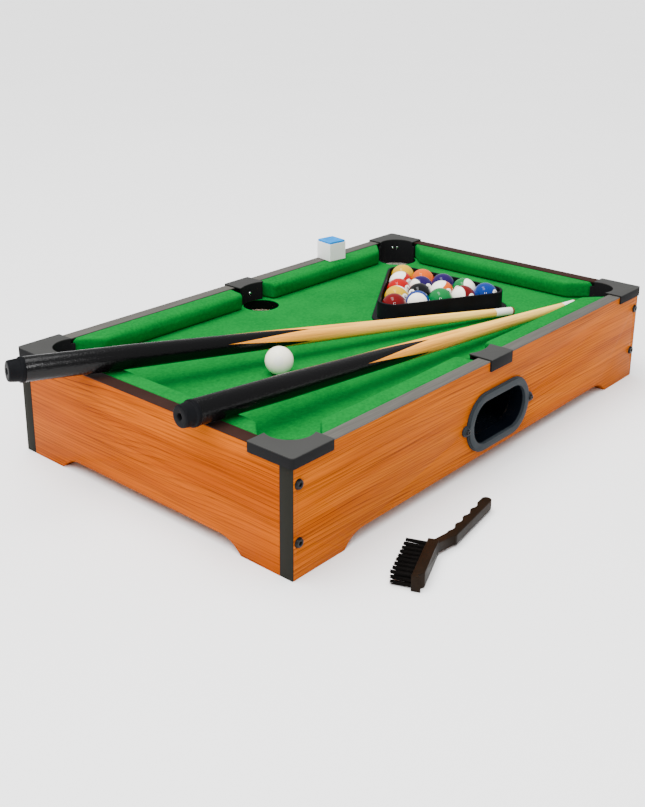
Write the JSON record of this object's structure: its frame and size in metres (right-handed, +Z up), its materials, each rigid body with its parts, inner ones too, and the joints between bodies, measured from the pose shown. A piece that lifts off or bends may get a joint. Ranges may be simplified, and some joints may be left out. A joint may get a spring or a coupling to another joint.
{
  "type": "mini pool table",
  "caption": "Tabletop pool table with arched woodgrain panels, felt bed and cushions, pocket caps and a ball return, with racked balls, cues, chalk and a brush.",
  "frame": {"origin": "on the standing surface, under the middle of the table's four feet", "axes": "+X along the table, +Y across it away from the ball return, +Z up"},
  "size_m": [0.569, 0.3826, 0.1174],
  "materials": {
    "woodgrain": "satin cherry woodgrain foil",
    "edging": "dark grey edge banding",
    "bed_board": "plain board",
    "cloth": "bright green baize",
    "cushion_cloth": "bright green baize over rubber",
    "caps": "moulded black",
    "cap_screws": "bright",
    "black_screws": "black",
    "bezel": "moulded black",
    "tray": "moulded black",
    "pale_board": "pale painted board",
    "rack": "moulded black",
    "cue_ball": "polished ivory",
    "cue_wood": "lacquered, black at the butt",
    "ferrule": "white",
    "cue_tip": "brown",
    "bumper": "black",
    "chalk": "powdery blue",
    "chalk_label": "plain white",
    "brush": "dark brown",
    "bristles": "black filaments",
    "ball_yellow": "polished",
    "ball_blue": "polished",
    "ball_red": "polished",
    "ball_purple": "polished",
    "ball_orange": "polished",
    "ball_green": "polished",
    "ball_maroon": "polished",
    "ball_black": "polished"
  },
  "bodies": {
    "table": {"front_panel": "woodgrain", "back_panel": "woodgrain", "left_end_panel": "woodgrain", "right_end_panel": "woodgrain", "long_edging": "edging", "end_edging": "edging", "corner_screws": "black_screws", "bed_board": "bed_board", "bed_cloth": "cloth", "bed_battens": "bed_board", "cushion_front_left": "cushion_cloth", "cushion_front_right": "cushion_cloth", "cushion_back_left": "cushion_cloth", "cushion_back_right": "cushion_cloth", "cushion_left": "cushion_cloth", "cushion_right": "cushion_cloth", "cap_front_left": "caps", "cap_front_right": "caps", "cap_back_left": "caps", "cap_back_right": "caps", "cap_front_side": "caps", "cap_back_side": "caps", "cap_screws": "cap_screws", "return_bezel": "bezel", "bezel_screws": "black_screws", "return_tray": "tray", "left_ramp": "pale_board", "right_ramp": "pale_board", "center_chute": "pale_board", "chute_bearers": "bed_board", "ramp_battens": "bed_board"},
    "rack": {"rack": "rack"},
    "ball_1": {"ball_1": "ball_yellow"},
    "ball_2": {"ball_2": "ball_blue"},
    "ball_3": {"ball_3": "ball_red"},
    "ball_4": {"ball_4": "ball_purple"},
    "ball_5": {"ball_5": "ball_orange"},
    "ball_6": {"ball_6": "ball_green"},
    "ball_7": {"ball_7": "ball_maroon"},
    "ball_8": {"ball_8": "ball_black"},
    "ball_9": {"ball_9": "ball_yellow"},
    "ball_10": {"ball_10": "ball_blue"},
    "ball_11": {"ball_11": "ball_red"},
    "ball_12": {"ball_12": "ball_purple"},
    "ball_13": {"ball_13": "ball_orange"},
    "ball_14": {"ball_14": "ball_green"},
    "ball_15": {"ball_15": "ball_maroon"},
    "cue_ball": {"cue_ball": "cue_ball"},
    "cue_a": {"cue_a_shaft": "cue_wood", "cue_a_ferrule": "ferrule", "cue_a_tip": "cue_tip", "cue_a_bumper": "bumper"},
    "cue_b": {"cue_b_shaft": "cue_wood", "cue_b_ferrule": "ferrule", "cue_b_tip": "cue_tip", "cue_b_bumper": "bumper"},
    "chalk": {"chalk_block": "chalk", "chalk_label": "chalk_label"},
    "brush": {"brush_handle": "brush", "brush_bristles": "bristles"}
  },
  "joints": [
    {"name": "rack_lift", "type": "slide", "parent": "table", "child": "rack", "axis": [0, 0, 1], "range_m": [0, 0.06]},
    {"name": "ball_1_lift", "type": "slide", "parent": "table", "child": "ball_1", "axis": [0, 0, 1], "range_m": [0, 0.06]},
    {"name": "ball_2_lift", "type": "slide", "parent": "table", "child": "ball_2", "axis": [0, 0, 1], "range_m": [0, 0.06]},
    {"name": "ball_3_lift", "type": "slide", "parent": "table", "child": "ball_3", "axis": [0, 0, 1], "range_m": [0, 0.06]},
    {"name": "ball_4_lift", "type": "slide", "parent": "table", "child": "ball_4", "axis": [0, 0, 1], "range_m": [0, 0.06]},
    {"name": "ball_5_lift", "type": "slide", "parent": "table", "child": "ball_5", "axis": [0, 0, 1], "range_m": [0, 0.06]},
    {"name": "ball_6_lift", "type": "slide", "parent": "table", "child": "ball_6", "axis": [0, 0, 1], "range_m": [0, 0.06]},
    {"name": "ball_7_lift", "type": "slide", "parent": "table", "child": "ball_7", "axis": [0, 0, 1], "range_m": [0, 0.06]},
    {"name": "ball_8_lift", "type": "slide", "parent": "table", "child": "ball_8", "axis": [0, 0, 1], "range_m": [0, 0.06]},
    {"name": "ball_9_lift", "type": "slide", "parent": "table", "child": "ball_9", "axis": [0, 0, 1], "range_m": [0, 0.06]},
    {"name": "ball_10_lift", "type": "slide", "parent": "table", "child": "ball_10", "axis": [0, 0, 1], "range_m": [0, 0.06]},
    {"name": "ball_11_lift", "type": "slide", "parent": "table", "child": "ball_11", "axis": [0, 0, 1], "range_m": [0, 0.06]},
    {"name": "ball_12_lift", "type": "slide", "parent": "table", "child": "ball_12", "axis": [0, 0, 1], "range_m": [0, 0.06]},
    {"name": "ball_13_lift", "type": "slide", "parent": "table", "child": "ball_13", "axis": [0, 0, 1], "range_m": [0, 0.06]},
    {"name": "ball_14_lift", "type": "slide", "parent": "table", "child": "ball_14", "axis": [0, 0, 1], "range_m": [0, 0.06]},
    {"name": "ball_15_lift", "type": "slide", "parent": "table", "child": "ball_15", "axis": [0, 0, 1], "range_m": [0, 0.06]},
    {"name": "cue_ball_roll", "type": "slide", "parent": "table", "child": "cue_ball", "axis": [1, 0, 0], "range_m": [-0.085, 0.02]},
    {"name": "cue_a_lift", "type": "slide", "parent": "table", "child": "cue_a", "axis": [0, 0, 1], "range_m": [0, 0.08]},
    {"name": "cue_b_lift", "type": "slide", "parent": "table", "child": "cue_b", "axis": [0, 0, 1], "range_m": [0, 0.08]},
    {"name": "chalk_lift", "type": "slide", "parent": "table", "child": "chalk", "axis": [0, 0, 1], "range_m": [0, 0.05]},
    {"name": "brush_lift", "type": "slide", "parent": "table", "child": "brush", "axis": [0, 0, 1], "range_m": [0, 0.08]}
  ]
}
